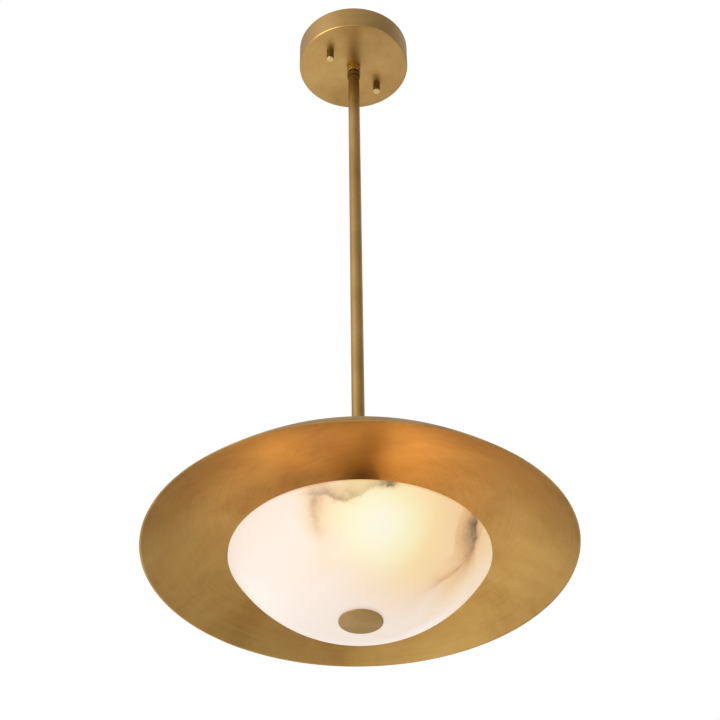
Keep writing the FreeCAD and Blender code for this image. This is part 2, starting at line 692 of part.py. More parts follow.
def lamp_arms():
    """The bent tubes that carry the holders and their cores."""
    outward = FreeCAD.Vector(1, 0, 0)
    start = arm_nut_seat - ARM_NUT_HEIGHT - ARM_PAST_NUT
    path = arm_path(start, arm_end_z)
    arm = pipe(path, ARM_RADIUS, outward).cut(pipe(path, ARM_RADIUS - ARM_WALL, outward))
    return Part.makeCompound(on_lamps(arm))


def arm_nuts():
    """The nuts that lock the arms inside the hub."""
    shape = nut(ARM_NUT_FLATS, ARM_RADIUS, 0, ARM_NUT_HEIGHT)
    shape.rotate(ORIGIN, FreeCAD.Vector(0, 1, 0), 90)
    shape.translate(FreeCAD.Vector(arm_nut_seat - ARM_NUT_HEIGHT, 0, arm_z))
    return Part.makeCompound(on_lamps(shape))


def lamp_holder():
    """A fired holder: the arm's socket and core hole above, the bulb's socket below."""
    holder = turned([(0, holder_z), (HOLDER_RADIUS, holder_z, HOLDER_ROUND),
                     (HOLDER_RADIUS, holder_top_z, HOLDER_ROUND), (0, holder_top_z)])
    holder = holder.cut(rod(ARM_RADIUS + FIT, arm_end_z, holder_top_z))
    holder = holder.cut(rod(CORE_RADIUS + FIT, arm_end_z - HOLDER_LEAD_HOLE_DEPTH, arm_end_z))
    socket_z = holder_z + SOCKET_DEPTH
    holder = holder.cut(rod(BULB_BASE_RADIUS + FIT, holder_z, socket_z))
    pin_hole = rod(PIN_RADIUS + FIT, socket_z, socket_z + PIN_LENGTH + FACE_GAP)
    for side in (-1, 1):
        holder = holder.cut(moved(pin_hole, FreeCAD.Vector(0, side * PIN_SPACING / 2, 0)))
    return moved(holder, FreeCAD.Vector(lamp_circle, 0, 0))


def bulb():
    """A capsule bulb with its base and two pins, pointing down."""
    top = holder_z - FACE_GAP
    base_z = top + BULB_BASE_LENGTH
    capsule = turned([(0, bulb_end_z), (BULB_RADIUS, bulb_end_z, BULB_RADIUS * 0.98),
                      (BULB_RADIUS, top, FACE_GAP * 10), (BULB_BASE_RADIUS, top),
                      (BULB_BASE_RADIUS, base_z), (0, base_z)])
    pin_top = holder_z + SOCKET_DEPTH + PIN_LENGTH
    for side in (-1, 1):
        pin = rod(PIN_RADIUS, base_z, pin_top)
        capsule = capsule.fuse(moved(pin, FreeCAD.Vector(0, side * PIN_SPACING / 2, 0)))
    return moved(capsule.removeSplitter(), FreeCAD.Vector(lamp_circle, 0, 0))


def stem_lead():
    """The lead from the ball down the rod into the hub."""
    return rod(LEAD_RADIUS, arm_z + STEM_LEAD_ABOVE_CORES, ball_top_z)


def holder_cores():
    """The cores from the lead through the arms to the holders."""
    path = arm_path(CORE_START, arm_end_z - HOLDER_LEAD_HOLE_DEPTH + FACE_GAP)
    return Part.makeCompound(on_lamps(pipe(path, CORE_RADIUS, FreeCAD.Vector(1, 0, 0))))


def tie_rod():
    """The thin threaded rod down to the finial."""
    return rod(TIE_ROD_RADIUS, finial_bore_z + FACE_GAP, tie_rod_top_z)


def alabaster_bowl():
    """The turned stone bowl: an upright edge, a long flank arc, a base arc and a flat seat."""
    widest_z = bowl_top_z - BOWL_EDGE_HEIGHT
    flank = (0, bowl_flank_z)
    base = (BOWL_SEAT_RADIUS, bowl_base_z)
    inner_top = math.acos((bowl_flank_z - bowl_top_z) / (BOWL_FLANK_RADIUS - BOWL_WALL))
    upright = Part.LineSegment(FreeCAD.Vector(BOWL_RADIUS, 0, bowl_top_z),
                               FreeCAD.Vector(BOWL_RADIUS, 0, widest_z))
    hole = Part.LineSegment(FreeCAD.Vector(BOWL_HOLE_RADIUS, 0, bowl_seat_z),
                            FreeCAD.Vector(BOWL_HOLE_RADIUS, 0, bowl_floor_z))
    down = math.pi
    edges = [upright.toShape(),
             arc_edge(flank, BOWL_FLANK_RADIUS, down - bowl_widest, down - bowl_join),
             arc_edge(base, bowl_base_radius, down - bowl_join, down),
             hole.toShape(),
             arc_edge(base, bowl_base_radius - BOWL_WALL, down, down - bowl_join),
             arc_edge(flank, BOWL_FLANK_RADIUS - BOWL_WALL, down - bowl_join, down - inner_top)]
    bowl = joined(edges)
    top_edges = [edge for edge in bowl.Edges if edge.BoundBox.ZMin > bowl_top_z - FIT]
    return bowl.makeFillet(BOWL_EDGE_ROUND, [edge for edge in top_edges if edge.Closed])


def upper_felt():
    """The soft washer on the bowl's floor."""
    return ring(UPPER_FELT_RADIUS, TIE_ROD_RADIUS + FIT, bowl_floor_z, bowl_washer_z)


def bowl_washer():
    """The metal washer above the felt."""
    return ring(BOWL_WASHER_RADIUS, TIE_ROD_RADIUS + FIT, bowl_washer_z, bowl_nut_z)


def bowl_nut():
    """The nut on the tie rod that steadies the bowl from above."""
    return nut(BOWL_NUT_FLATS, TIE_ROD_RADIUS, bowl_nut_z, BOWL_NUT_HEIGHT)


def lower_felt():
    """The soft washer between the bowl and the finial."""
    return ring(LOWER_FELT_RADIUS, BOWL_HOLE_RADIUS, finial_z, bowl_seat_z)


def finial():
    """The disc with a slightly domed face and a threaded boss that carries the bowl."""
    boss_z = finial_z + FINIAL_BOSS_HEIGHT
    bore = TIE_ROD_RADIUS + FIT
    face = finial_face_z - FINIAL_DOME
    disc = turned([(0, finial_face_z), (FINIAL_RADIUS, finial_face_z),
                   (FINIAL_RADIUS, finial_z, FINIAL_EDGE_ROUND), (FINIAL_BOSS_RADIUS, finial_z),
                   (FINIAL_BOSS_RADIUS, boss_z), (0, boss_z)])
    dome_radius = (FINIAL_RADIUS ** 2 + FINIAL_DOME ** 2) / (2 * FINIAL_DOME)
    dome = Part.makeSphere(dome_radius, FreeCAD.Vector(0, 0, face + dome_radius))
    dome = dome.common(rod(FINIAL_RADIUS, face, finial_face_z))
    return disc.fuse(dome).cut(rod(bore, finial_bore_z, boss_z)).removeSplitter()


dish_top_z = dish_arcs()[1]
coupler_z = dish_top_z + DISH_WASHER_THICKNESS
rod_bottom_z = coupler_z + COUPLER_HEIGHT - ROD_SOCKET_DEPTH
lock_washer_z = dish_top_z - DISH_SHEET - LOCK_WASHER_THICKNESS

nodes = {
    "ceiling_plate": ceiling_plate(),
    "plate_studs": plate_studs(),
    "stud_nuts": stud_nuts(),
    "earth_screw": earth_screw(),
    "terminal_block": terminal_block(),
    "terminal_screws": terminal_screws(),
    "canopy": canopy(),
    "swivel_body": swivel_body(),
    "tooth_washer": tooth_washer(),
    "spigot_nut": spigot_nut(),
    "cord_grip": cord_grip(),
    "canopy_lead": canopy_lead(),
    "swivel_cup": swivel_cup(),
    "ball_seat": ball_seat(),
    "swivel_ball": swivel_ball(),
    "rod_ferrule": rod_ferrule(),
    "rod_plug": rod_plug(),
    "rod": main_rod(),
    "rod_coupler": rod_coupler(),
    "dish_washer": dish_washer(),
    "dish": dish(),
    "lock_washer": lock_washer(),
    "lock_nut": lock_nut(),
    "stem_nipple": stem_nipple(),
    "lamp_hub": lamp_hub(),
    "hub_lid": hub_lid(),
    "hub_nut": hub_nut(),
    "tie_rod_reducer": tie_rod_reducer(),
    "lamp_arms": lamp_arms(),
    "arm_nuts": arm_nuts(),
    "stem_lead": stem_lead(),
    "holder_cores": holder_cores(),
    "tie_rod": tie_rod(),
    "upper_felt": upper_felt(),
    "bowl_washer": bowl_washer(),
    "bowl_nut": bowl_nut(),
    "alabaster_bowl": alabaster_bowl(),
    "lower_felt": lower_felt(),
    "finial": finial(),
}
nodes["cap_nut_left"], nodes["cap_nut_right"] = cap_nuts()
for number, shape in enumerate(on_lamps(lamp_holder()), start=1):
    nodes[f"lamp_holder_{number}"] = shape
for number, shape in enumerate(on_lamps(bulb()), start=1):
    nodes[f"bulb_{number}"] = shape

for name, shape in nodes.items():
    shape.exportStep(f"parts/{name}.step")
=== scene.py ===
import math

import bpy
from mathutils import Matrix, Vector, noise


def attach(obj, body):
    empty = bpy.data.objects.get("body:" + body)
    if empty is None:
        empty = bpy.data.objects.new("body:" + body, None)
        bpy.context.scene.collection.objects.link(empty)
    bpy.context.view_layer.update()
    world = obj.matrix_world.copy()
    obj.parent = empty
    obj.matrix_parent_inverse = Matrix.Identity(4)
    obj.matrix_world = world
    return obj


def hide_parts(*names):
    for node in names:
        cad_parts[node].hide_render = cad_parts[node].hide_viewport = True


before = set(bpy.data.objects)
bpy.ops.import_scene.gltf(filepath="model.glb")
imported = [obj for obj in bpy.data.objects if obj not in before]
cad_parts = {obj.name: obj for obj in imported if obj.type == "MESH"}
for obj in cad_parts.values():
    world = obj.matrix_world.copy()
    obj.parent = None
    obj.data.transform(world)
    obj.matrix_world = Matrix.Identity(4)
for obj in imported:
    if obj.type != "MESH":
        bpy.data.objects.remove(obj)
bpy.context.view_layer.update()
mm = 0.001
print("frame loaded")


def linear(hexColour):  # sRGB hex to the linear colour that sockets take
    parts = [int(hexColour[i:i + 2], 16) / 255 for i in (1, 3, 5)]
    return [c / 12.92 if c <= 0.04045 else ((c + 0.055) / 1.055) ** 2.4 for c in parts] + [1.0]


def addNode(tree, kind, settings=None, **inputs):  # one node with its settings, values and links
    node = tree.nodes.new(kind)
    for name, value in (settings or {}).items():
        if name == "stops":  # a ramp's (place, hex colour) pairs
            while len(node.color_ramp.elements) < len(value):
                node.color_ramp.elements.new(0.5)
            for element, (place, hexColour) in zip(node.color_ramp.elements, value):
                element.position = place
                element.color = linear(hexColour)
        else:
            setattr(node, name, value)
    for name, value in inputs.items():  # i3 is the fourth socket, and a node stands for its first output
        socket = node.inputs[int(name[1:])] if name[0] == "i" and name[1:].isdigit() else node.inputs[name]
        if isinstance(value, bpy.types.Node):
            value = value.outputs[0]
        if isinstance(value, bpy.types.NodeSocket):
            tree.links.new(value, socket)
        else:
            socket.default_value = value
    return node


def newMaterial(name):
    material = bpy.data.materials.new(name)
    material.use_nodes = True
    material.node_tree.nodes.clear()
    return material, material.node_tree


times, plus, raised, spread = [{"operation": name} for name in ("MULTIPLY", "ADD", "POWER", "SCALE")]
softStep = {"interpolation_type": "SMOOTHSTEP"}
layered = {"data_type": "RGBA", "blend_type": "MULTIPLY"}
apart = {"operation": "DISTANCE"}

# Antique brass, spun or turned and brushed by hand: satin, with fine lines round the axis and
# a patina that wanders between olive and brown.
brassLook = {
    "light": "#CCA768", "mid": "#C0995C", "dark": "#AD874D", "shadeAt": (0.66, 0.5, 0.34),
    "patinaSizeMm": 80.0, "lineMm": 0.55, "lineReach": 2.2, "alongMm": 40.0, "lineShare": 0.25,
    "roughness": 0.36, "rougher": 0.06, "smoother": 0.05, "lineDepth": 0.06, "lineDepthMm": 0.05, "smear": 0.5,
}


def brushedBrass(name, look, around=True, paintedShade=None):
    material, tree = newMaterial(name)
    place = addNode(tree, "ShaderNodeTexCoord").outputs["Object"]
    x, y, z = addNode(tree, "ShaderNodeSeparateXYZ", Vector=place).outputs
    flat = addNode(tree, "ShaderNodeCombineXYZ", X=x, Y=y)
    lines = 1 / (look["lineMm"] * mm)
    if around:  # lines run round the axis: they change with radius and height, hardly with angle
        reach = addNode(tree, "ShaderNodeVectorMath", {"operation": "LENGTH"}, i0=flat).outputs["Value"]
        facing = addNode(tree, "ShaderNodeVectorMath", {"operation": "NORMALIZE"}, i0=flat)
        turn = addNode(tree, "ShaderNodeVectorMath", spread, i0=facing, Scale=look["lineReach"])
        climb = addNode(tree, "ShaderNodeMath", times, i0=z, i1=lines)
        rise = addNode(tree, "ShaderNodeCombineXYZ", Z=climb)
        where = addNode(tree, "ShaderNodeVectorMath", plus, i0=turn, i1=rise)
        across = addNode(tree, "ShaderNodeMath", times, i0=reach, i1=lines)
        brush = addNode(tree, "ShaderNodeTexNoise", {"noise_dimensions": "4D"}, Vector=where, W=across,
                        Scale=1.0, Detail=4.0, Roughness=0.6)
    else:  # lines run along the axis
        turn = addNode(tree, "ShaderNodeVectorMath", spread, i0=flat, Scale=lines)
        climb = addNode(tree, "ShaderNodeMath", times, i0=z, i1=1 / (look["alongMm"] * mm))
        rise = addNode(tree, "ShaderNodeCombineXYZ", Z=climb)
        where = addNode(tree, "ShaderNodeVectorMath", plus, i0=turn, i1=rise)
        brush = addNode(tree, "ShaderNodeTexNoise", Vector=where, Scale=1.0, Detail=4.0, Roughness=0.6)
    patina = addNode(tree, "ShaderNodeTexNoise", Vector=place, Scale=1 / (look["patinaSizeMm"] * mm),
                     Detail=5.0, Roughness=0.62, Distortion=0.3)
    mixed = addNode(tree, "ShaderNodeMix", i0=look["lineShare"], i2=patina, i3=brush)
    lightAt, midAt, darkAt = look["shadeAt"]
    shades = [(darkAt, look["dark"]), (midAt, look["mid"]), (lightAt, look["light"])]
    colour = addNode(tree, "ShaderNodeValToRGB", {"stops": shades}, Fac=mixed)
    if paintedShade:  # painted shade: darker towards one height
        height = addNode(tree, "ShaderNodeMapRange", softStep, i0=z, i1=paintedShade["fromMm"] * mm,
                         i2=paintedShade["toMm"] * mm)
        ends = [(0.0, paintedShade["from"]), (1.0, paintedShade["to"])]
        shade = addNode(tree, "ShaderNodeValToRGB", {"stops": ends}, Fac=height)
        colour = addNode(tree, "ShaderNodeMix", layered, i0=1.0, i6=colour, i7=shade).outputs[2]
    rough = addNode(tree, "ShaderNodeMapRange", i0=mixed, i1=0.3, i2=0.7,
                    i3=look["roughness"] + look["rougher"], i4=look["roughness"] - look["smoother"])
    bump = addNode(tree, "ShaderNodeBump", Strength=look["lineDepth"], Distance=look["lineDepthMm"] * mm,
                   Height=brush)
    shader = addNode(tree, "ShaderNodeBsdfPrincipled", i0=colour, Metallic=1.0, Roughness=rough, Normal=bump)
    if around:  # grooves round the axis smear what the metal reflects outwards
        ring = addNode(tree, "ShaderNodeTangent", {"direction_type": "RADIAL", "axis": "Z"})
        tree.links.new(ring.outputs[0], shader.inputs["Tangent"])
        shader.inputs["Anisotropic"].default_value = look["smear"]
        shader.inputs["Anisotropic Rotation"].default_value = 0.25
    addNode(tree, "ShaderNodeOutputMaterial", Surface=shader)
    return material


brass = brushedBrass("brushed antique brass", brassLook)
# Painted shade: the rod is darker towards its top, under the swivel and canopy.
rodPaintedShade = {"fromMm": -130.0, "from": "#FFFFFF", "toMm": -52.0, "to": "#B0B09C"}
rodBrass = brushedBrass("drawn antique brass", {**brassLook, "lineMm": 0.35}, around=False, paintedShade=rodPaintedShade)
# Painted shade: the swivel pieces and the ferrule are darker all over, and darker still below 41.5 mm down.
swivelPaintedShade = {"fromMm": -41.5, "from": "#A5A892", "toMm": -41.0, "to": "#E2E0C6"}
swivelBrass = brushedBrass("antique brass with painted shade", brassLook, paintedShade=swivelPaintedShade)
# Painted shade: the finial gets a darker copy of the same brass.
finialShadedLook = {**brassLook, "light": "#BC9A60", "mid": "#B08D56", "dark": "#9F7D49"}
finialBrass = brushedBrass("turned antique brass, painted darker as shade", finialShadedLook)
# Painted highlight and painted shade: the cap nuts get lighter brass, left bright at their tips and darkened above
# them.
nutPaintedShade = {"fromMm": -43.7, "from": "#FFFFFF", "toMm": -42.9, "to": "#8A8F84"}
nutHighlightLook = {**brassLook, "light": "#E6C88C", "mid": "#DDBD80", "dark": "#CFAD70", "roughness": 0.3}
nutBrass = brushedBrass("turned brass, bright at its tip", nutHighlightLook, paintedShade=nutPaintedShade)
dishLook = {**brassLook, "light": "#CCA560", "mid": "#BE9654", "dark": "#A37B40",
            "patinaSizeMm": 110.0, "lineMm": 0.8, "roughness": 0.45, "smear": 0.3}
dishBrass = brushedBrass("spun antique brass", dishLook)
print("brass ready")

# Alabaster, turned and polished: a soft white stone with grey and brown veins. The bulbs' light through it is
# painted as a glow, warm near each bulb and cooler between them. Its honey coloured patch is painted glow too, with
# a hot core by the near bulb that cools from there.
alabasterLook = {
    "clear": "#B8AC9F", "roughness": 0.32, "ior": 1.52, "glowStrength": 0.6,
    "lampReachMm": 66.0, "lampRiseMm": 2.0, "nearMm": 39.0, "lampFade": 2.4,
    "cloudMm": 45.0, "cloudy": (0.7, 1.3), "veinEdgeMm": 6.0, "veinUneven": (0.45, 1.55),
    "pale": [(0.1, "#F6E2D2"), (0.28, "#FAE9DE"), (0.48, "#FCEFE6"), (0.65, "#FFFAF0")],
    "hotPlaceMm": (18.0, -96.0, -735.0), "hotReachMm": 140.0,
    "honey": [(0.06, "#FFFFE4"), (0.13, "#FFFFD4"), (0.25, "#FFF2B0"), (0.37, "#FFDB8A"), (0.5, "#FBD088"),
              (0.63, "#F5C682"), (0.79, "#F7CE8C"), (1.0, "#FBDCA2")],
    "honeyPlaceMm": (60.0, -90.0, -705.0), "honeyStretch": (0.9, 0.75, 1.3), "honeyMm": (55.0, 125.0),
    "stain": [(0.0, "#FFFFFF"), (0.3, "#EDE0D0"), (0.6, "#C2B6AA"), (0.85, "#8E8781"), (1.0, "#645E58")],
}


def glowingAlabaster(look, lampAzimuths, rimHeight):
    material, tree = newMaterial("polished alabaster, lit from inside")
    place = addNode(tree, "ShaderNodeTexCoord").outputs["Object"]
    total = 0.0
    for azimuth in lampAzimuths:
        turn = math.radians(azimuth)
        lamp = (look["lampReachMm"] * mm * math.cos(turn), look["lampReachMm"] * mm * math.sin(turn),
                rimHeight + look["lampRiseMm"] * mm)
        away = addNode(tree, "ShaderNodeVectorMath", apart, i0=place, i1=lamp).outputs["Value"]
        near = addNode(tree, "ShaderNodeMath", {"operation": "DIVIDE"}, i0=look["nearMm"] * mm, i1=away)
        share = addNode(tree, "ShaderNodeMath", raised, i0=near, i1=look["lampFade"])
        total = addNode(tree, "ShaderNodeMath", plus, i0=share, i1=total)
    clouds = addNode(tree, "ShaderNodeTexNoise", Vector=place, Scale=1 / (look["cloudMm"] * mm), Detail=4.0,
                     Roughness=0.55, Distortion=0.6)
    thick = addNode(tree, "ShaderNodeMapRange", i0=clouds, i1=0.0, i2=1.0, i3=look["cloudy"][0],
                    i4=look["cloudy"][1])
    cloudy = addNode(tree, "ShaderNodeMath", times, i0=total, i1=thick)
    pale = addNode(tree, "ShaderNodeValToRGB", {"stops": look["pale"]}, Fac=cloudy)
    hot = tuple(value * mm for value in look["hotPlaceMm"])
    fromHot = addNode(tree, "ShaderNodeVectorMath", apart, i0=place, i1=hot).outputs["Value"]
    hazy = addNode(tree, "ShaderNodeMath", times, i0=fromHot, i1=thick)
    cooler = addNode(tree, "ShaderNodeMath", times, i0=hazy, i1=1 / (look["hotReachMm"] * mm))
    honey = addNode(tree, "ShaderNodeValToRGB", {"stops": look["honey"]}, Fac=cooler)
    middle = tuple(value * share * mm for value, share in zip(look["honeyPlaceMm"], look["honeyStretch"]))
    squeezed = addNode(tree, "ShaderNodeVectorMath", times, i0=place, i1=look["honeyStretch"])
    outwards = addNode(tree, "ShaderNodeVectorMath", apart, i0=squeezed, i1=middle).outputs["Value"]
    ragged = addNode(tree, "ShaderNodeMath", times, i0=outwards, i1=thick)
    patch = addNode(tree, "ShaderNodeMapRange", softStep, i0=ragged, i1=look["honeyMm"][0] * mm,
                    i2=look["honeyMm"][1] * mm, i3=1.0, i4=0.0)
    glow = addNode(tree, "ShaderNodeMix", {"data_type": "RGBA"}, i0=patch, i6=pale, i7=honey).outputs[2]
    vein = addNode(tree, "ShaderNodeAttribute", {"attribute_name": "vein"}).outputs["Fac"]
    grain = addNode(tree, "ShaderNodeTexNoise", Vector=place, Scale=1 / (look["veinEdgeMm"] * mm), Detail=6.0,
                    Roughness=0.7)
    uneven = addNode(tree, "ShaderNodeMapRange", i0=grain, i1=0.0, i2=1.0, i3=look["veinUneven"][0],
                     i4=look["veinUneven"][1])
    darkness = addNode(tree, "ShaderNodeMath", times, i0=vein, i1=uneven)
    stain = addNode(tree, "ShaderNodeValToRGB", {"stops": look["stain"]}, Fac=darkness)
    seen = addNode(tree, "ShaderNodeMix", layered, i0=1.0, i6=glow, i7=stain).outputs[2]
    body = addNode(tree, "ShaderNodeMix", layered, i0=1.0, i6=linear(look["clear"]), i7=stain).outputs[2]
    shader = addNode(tree, "ShaderNodeBsdfPrincipled", i0=body, Roughness=look["roughness"], IOR=look["ior"],
                     **{"Emission Color": seen, "Emission Strength": look["glowStrength"]})
    addNode(tree, "ShaderNodeOutputMaterial", Surface=shader)
    return material


# Small plain finishes of the inner pieces. Each has a fine speckle, so it isn't one flat colour.
plainLooks = {
    "steel": {"name": "zinc plated steel", "dark": "#9FA1A2", "light": "#B9BABB", "grainMm": 1.5,
              "metallic": 1.0, "roughness": 0.38},  # cool grey with a faint sheen
    "plastic": {"name": "moulded nylon", "dark": "#DAD6CC", "light": "#E6E3DA", "grainMm": 2.0,
                "metallic": 0.0, "roughness": 0.5},  # milky and even
    "ceramic": {"name": "fired steatite ceramic", "dark": "#E6E2D8", "light": "#F1EEE6", "grainMm": 3.0,
                "metallic": 0.0, "roughness": 0.42},  # dense white with a dull glaze
    "felt": {"name": "pressed wool felt", "dark": "#C9C2B2", "light": "#DED8CA", "grainMm": 0.8,
             "metallic": 0.0, "roughness": 0.95},  # matt and fibrous
    "sheath": {"name": "rubber lead sheath", "dark": "#C3C1BB", "light": "#D2D0CA", "grainMm": 2.5,
               "metallic": 0.0, "roughness": 0.6},  # soft grey, hardly shiny
}


def plainFinish(look):
    material, tree = newMaterial(look["name"])
    place = addNode(tree, "ShaderNodeTexCoord").outputs["Object"]
    grain = addNode(tree, "ShaderNodeTexNoise", Vector=place, Scale=1 / (look["grainMm"] * mm), Detail=3.0)
    shades = [(0.35, look["dark"]), (0.65, look["light"])]
    colour = addNode(tree, "ShaderNodeValToRGB", {"stops": shades}, Fac=grain)
    bump = addNode(tree, "ShaderNodeBump", Strength=0.15, Distance=0.05 * mm, Height=grain)
    shader = addNode(tree, "ShaderNodeBsdfPrincipled", i0=colour, Metallic=look["metallic"],
                     Roughness=look["roughness"], Normal=bump)
    addNode(tree, "ShaderNodeOutputMaterial", Surface=shader)
    return material


# Frosted bulb glass, lit: warm white, uneven where the frost is thin.
bulbLook = {"warm": "#FFD9A0", "edge": "#FFC27A", "glass": "#FFF4E2", "frostMm": 4.0, "strength": 8.2}


def litGlass(look):
    material, tree = newMaterial("frosted bulb glass, lit")
    place = addNode(tree, "ShaderNodeTexCoord").outputs["Object"]
    frost = addNode(tree, "ShaderNodeTexNoise", Vector=place, Scale=1 / (look["frostMm"] * mm), Detail=2.0)
    colour = addNode(tree, "ShaderNodeValToRGB", {"stops": [(0.3, look["edge"]), (0.7, look["warm"])]}, Fac=frost)
    shader = addNode(tree, "ShaderNodeBsdfPrincipled", i0=linear(look["glass"]), Roughness=0.5,
                     **{"Emission Color": colour, "Emission Strength": look["strength"]})
    addNode(tree, "ShaderNodeOutputMaterial", Surface=shader)
    return material


plain = {name: plainFinish(look) for name, look in plainLooks.items()}
bulbGlass = litGlass(bulbLook)
print("materials ready")


def arcPoints(centre, radius, fromSlope, toSlope, count):  # slopes in radians from the upright
    slopes = [fromSlope + (toSlope - fromSlope) * step / count for step in range(count + 1)]
    return [(centre[0] + radius * math.sin(s), centre[1] + radius * math.cos(s)) for s in slopes]


def roundedCorner(before, corner, after, rounding, count=6):
    a = (Vector(before) - Vector(corner)).normalized()
    b = (Vector(after) - Vector(corner)).normalized()
    half = a.angle(b) / 2
    centre = Vector(corner) + (a + b).normalized() * (rounding / math.sin(half))
    start = Vector(corner) + a * (rounding / math.tan(half)) - centre
    finish = Vector(corner) + b * (rounding / math.tan(half)) - centre
    points = []
    for step in range(count + 1):
        spoke = start.lerp(finish, step / count).normalized() * rounding
        points.append(tuple(centre + spoke))
    return points


weld = 0.001 * mm
creaseDegrees = 25


def turnedPiece(name, outline, steps, material, body, node):  # outline is (radius, height) in mm
    bpy.ops.object.select_all(action="DESELECT")
    bpy.ops.mesh.primitive_plane_add(size=mm)
    piece = bpy.context.object
    piece.name = name
    bpy.ops.object.mode_set(mode="EDIT")
    bpy.ops.mesh.select_all(action="SELECT")
    bpy.ops.mesh.merge(type="CENTER")
    last = Vector((0, 0, 0))
    closed = list(outline) + [outline[0]]
    for index, (radius, height) in enumerate(closed):
        here = Vector((radius, 0, height)) * mm
        if index == 0:
            bpy.ops.transform.translate(value=here)
        else:
            bpy.ops.mesh.extrude_region_move(TRANSFORM_OT_translate={"value": here - last})
        last = here
    bpy.ops.mesh.select_all(action="SELECT")
    bpy.ops.mesh.remove_doubles(threshold=weld)
    bpy.ops.mesh.select_all(action="SELECT")
    bpy.ops.mesh.spin(steps=steps, angle=2 * math.pi, center=(0, 0, 0), axis=(0, 0, 1))
    bpy.ops.mesh.select_all(action="SELECT")
    bpy.ops.mesh.remove_doubles(threshold=weld)
    bpy.ops.mesh.normals_make_consistent(inside=False)
    bpy.ops.object.mode_set(mode="OBJECT")
    bpy.ops.object.shade_smooth_by_angle(angle=math.radians(creaseDegrees))
    piece.data.name = name
    piece.data.materials.clear()
    piece.data.materials.append(material)
    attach(piece, body)
    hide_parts(node)
    return piece


# The dish: three arcs from the rim to the flat seat, and the same arcs back inside the sheet. Each arc
# has its radius, its slopes in degrees where it starts and ends, and its points; the last one's radius
# follows from the seat.
dishShape = {
    "radius": 200.0, "rimZ": -700.0, "sheet": 1.2, "seat": 20.0, "hole": 5.1,
    "arcs": [(440.0, 45.0, 40.0, 16), (140.0, 40.0, 18.0, 24), (None, 18.0, 0.0, 40)],
    "steps": 256,
}


def dishOutline(shape):
    arcs = []
    radius, height = shape["radius"], shape["rimZ"]
    for bend, steep, flat, count in shape["arcs"]:
        steep, flat = math.radians(steep), math.radians(flat)
        bend = bend or (radius - shape["seat"]) / math.sin(steep)
        centre = (radius - bend * math.sin(steep), height - bend * math.cos(steep))
        arcs.append((centre, bend, steep, flat, count))
        radius, height = centre[0] + bend * math.sin(flat), centre[1] + bend * math.cos(flat)
    outer, inner = [], []
    for index, (centre, bend, steep, flat, count) in enumerate(arcs):
        outer += arcPoints(centre, bend, steep, flat, count)
        start = steep if index else math.acos((shape["rimZ"] - centre[1]) / (bend - shape["sheet"]))
        inner += arcPoints(centre, bend - shape["sheet"], start, flat, count)
    top = outer[-1][1]
    return outer + [(shape["hole"], top), (shape["hole"], top - shape["sheet"])] + inner[::-1]


dish = turnedPiece("spunDish", dishOutline(dishShape), dishShape["steps"], dishBrass, "stem", "dish")
print("dish made")

# The canopy: a cup with a rounded edge, open to the ceiling, with a hole for the swivel and two
# for the studs.
canopyShape = {
    "radius": 62.0, "bottomZ": -30.0, "wall": 1.2, "floor": 1.5, "round": 1.6, "hole": 5.1,
    "studHole": 2.3, "studReach": 36.0, "studAzimuths": (43, 223), "drillLength": 6.0, "drillSides": 48,
    "edgePoints": 10, "innerPoints": 4, "steps": 240,
}


def canopyOutline(shape):
    inner = shape["radius"] - shape["wall"]
    floorZ = shape["bottomZ"] + shape["floor"]
    edge = roundedCorner((shape["hole"], shape["bottomZ"]), (shape["radius"], shape["bottomZ"]),
                         (shape["radius"], 0), shape["round"], shape["edgePoints"])
    inside = roundedCorner((inner, 0), (inner, floorZ), (shape["hole"], floorZ),
                           shape["round"] - shape["wall"], shape["innerPoints"])
    return [(shape["hole"], shape["bottomZ"])] + edge + [(shape["radius"], 0), (inner, 0)] + inside + [
        (shape["hole"], floorZ)]


def drilled(piece, shape):
    for azimuth in shape["studAzimuths"]:
        turn = math.radians(azimuth)
        reach = shape["studReach"] * mm
        bpy.ops.object.select_all(action="DESELECT")
        place = (reach * math.cos(turn), reach * math.sin(turn), (shape["bottomZ"] + shape["floor"] / 2) * mm)
        bpy.ops.mesh.primitive_cylinder_add(vertices=shape["drillSides"], radius=shape["studHole"] * mm,
                                            depth=shape["drillLength"] * mm, location=place)
        drill = bpy.context.object
        cut = piece.modifiers.new("studHole", "BOOLEAN")
        cut.operation = "DIFFERENCE"
        cut.object = drill
        bpy.context.view_layer.objects.active = piece
        bpy.ops.object.modifier_apply(modifier=cut.name)
        bpy.data.objects.remove(drill)


canopy = turnedPiece("turnedCanopy", canopyOutline(canopyShape), canopyShape["steps"], brass, "ceiling_side",
                     "canopy")
drilled(canopy, canopyShape)
print("canopy made")

# The bowl: an upright edge, the flank arc, the base arc and a flat seat, 10 mm thick all over.
bowlShape = {
    "topZ": -701.2, "radius": 120.0, "edge": 3.0, "round": 2.0, "flank": 140.0, "baseSlope": 22.0,
    "seat": 20.0, "wall": 10.0, "hole": 6.0, "outerPoints": (84, 32), "innerPoints": (12, 30), "steps": 420,
    "lampAzimuths": (-72, 48, 168), "lipClear": 1.05,
}


